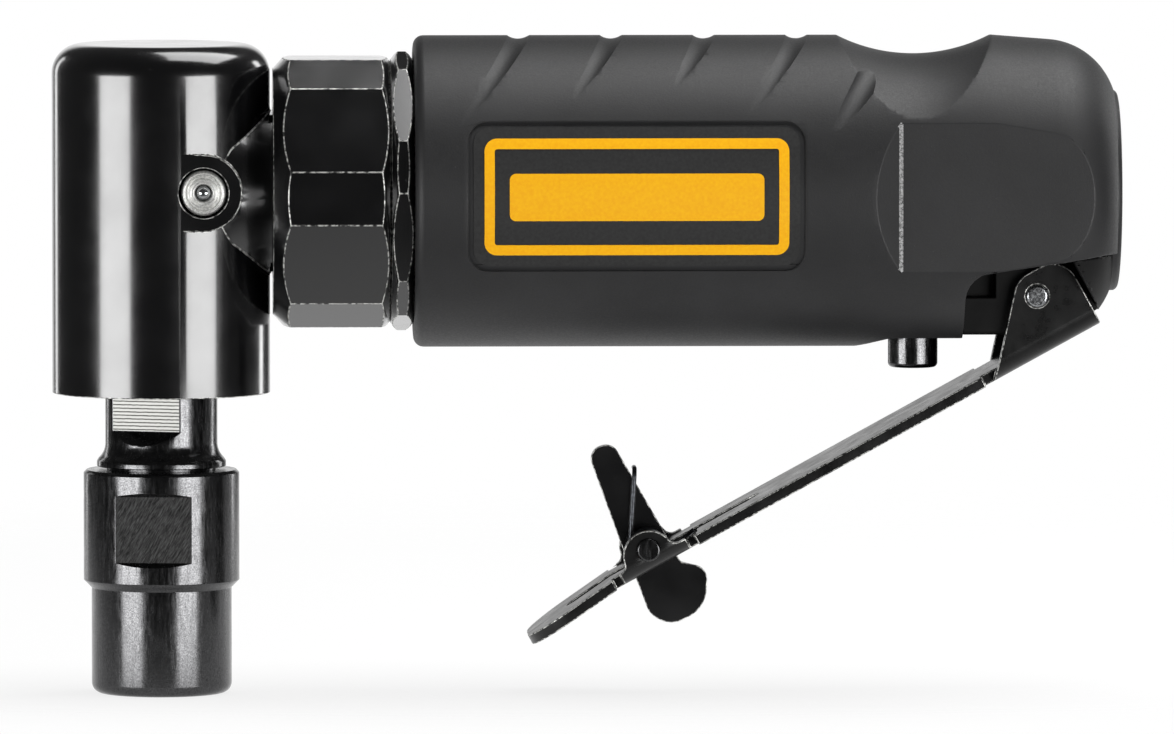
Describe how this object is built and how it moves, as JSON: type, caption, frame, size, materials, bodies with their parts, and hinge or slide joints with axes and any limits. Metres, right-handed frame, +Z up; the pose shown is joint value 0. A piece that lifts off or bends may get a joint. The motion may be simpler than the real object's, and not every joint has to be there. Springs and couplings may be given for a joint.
{
  "type": "air angle grinder",
  "caption": "Right-angle air die grinder: collet spindle in an angle head, hex coupling, grooved grip and a throttle lever with a lock-off latch.",
  "frame": {"origin": "centre of the collet mouth, on the spindle axis", "axes": "+Z up the spindle into the head, +X back along the motor to the air inlet, -Y towards the side with the grease fitting"},
  "size_m": [0.1369, 0.04, 0.0845],
  "materials": {
    "black_paint": "gloss",
    "black_oxide": "satin",
    "bright_steel": "satin",
    "bearing_steel": "gloss",
    "gear_steel": "satin",
    "grip": "matte",
    "cast_aluminium": "satin",
    "cast_iron": "satin",
    "brass": "satin",
    "rubber": "matte",
    "felt": "matte",
    "blade_composite": "matte",
    "black_plastic": "satin"
  },
  "bodies": {
    "housing": {"angle_head": "black_paint", "grease_fitting": "bright_steel", "grease_ball": "bright_steel", "bearing_retainer": "bearing_steel", "spindle_lower_bearing": "bearing_steel", "spindle_upper_bearing": "bearing_steel", "pinion_front_bearing": "bearing_steel", "pinion_rear_bearing": "bearing_steel", "pinion_bearing_spacer": "bearing_steel", "neck_ring": "bearing_steel", "coupling_nut": "black_paint", "clamp_nut": "black_paint", "motor_housing": "cast_aluminium", "grip_sleeve": "grip", "front_end_plate": "cast_aluminium", "rotor_front_bearing": "bearing_steel", "cylinder": "cast_iron", "cylinder_dowel": "bright_steel", "rear_end_plate": "cast_aluminium", "rotor_rear_bearing": "bearing_steel", "motor_gasket": "rubber", "throttle_bushing": "brass", "valve_seat": "brass", "valve_plug": "brass", "air_inlet_bushing": "bright_steel", "inlet_oring": "rubber", "inlet_screen": "bright_steel", "exhaust_muffler": "felt", "exhaust_cover": "black_plastic", "lever_pin": "bright_steel"},
    "rotor": {"rotor": "gear_steel", "rotor_blades": "blade_composite", "bevel_pinion": "gear_steel", "pinion_snap_ring": "bearing_steel"},
    "spindle": {"spindle": "black_oxide", "bevel_gear": "gear_steel", "gear_key": "bearing_steel", "gear_ring": "bearing_steel", "collet": "black_oxide"},
    "collet_nut": {"collet_nut": "black_oxide"},
    "throttle_lever": {"throttle_lever": "black_paint", "safety_pin": "bright_steel", "safety_spring": "bright_steel"},
    "safety_latch": {"safety_latch": "black_paint"},
    "throttle_plunger": {"throttle_plunger": "black_oxide", "plunger_oring": "rubber", "valve_ball": "bright_steel", "valve_spring": "bright_steel"}
  },
  "joints": [
    {"name": "rotor_spin", "type": "hinge", "parent": "housing", "child": "rotor", "pos_m": [0, 0, 0.0645], "axis": [1, 0, 0], "continuous": true},
    {"name": "spindle_spin", "type": "hinge", "parent": "housing", "child": "spindle", "pos_m": [0, 0, 0], "axis": [0, 0, 1], "continuous": true},
    {"name": "collet_nut_turn", "type": "hinge", "parent": "spindle", "child": "collet_nut", "pos_m": [0, 0, 0], "axis": [0, 0, -1], "range_deg": [0, 360]},
    {"name": "lever_pivot", "type": "hinge", "parent": "housing", "child": "throttle_lever", "pos_m": [0.1121, 0, 0.0514], "axis": [0, 1, 0], "range_deg": [0, 23], "stiffness_Nm_per_rad": 0.4, "springref_deg": -11.46},
    {"name": "plunger_slide", "type": "slide", "parent": "housing", "child": "throttle_plunger", "axis": [0, 0, 1], "range_m": [0, 0.00285], "deforming": ["valve_spring"]},
    {"name": "safety_pivot", "type": "hinge", "parent": "throttle_lever", "child": "safety_latch", "pos_m": [0.06235, 0, 0.01891], "axis": [0, 1, 0], "range_deg": [0, 90], "deforming": ["safety_spring"]}
  ],
  "couplings": [
    {"joint": "spindle_spin", "follows": "rotor_spin", "ratio": 0.70588},
    {"joint": "plunger_slide", "follows": "lever_pivot", "m_per_rad": 0.0070997},
    {"joint": "safety_pivot", "follows": "lever_pivot", "ratio": 3.913}
  ]
}
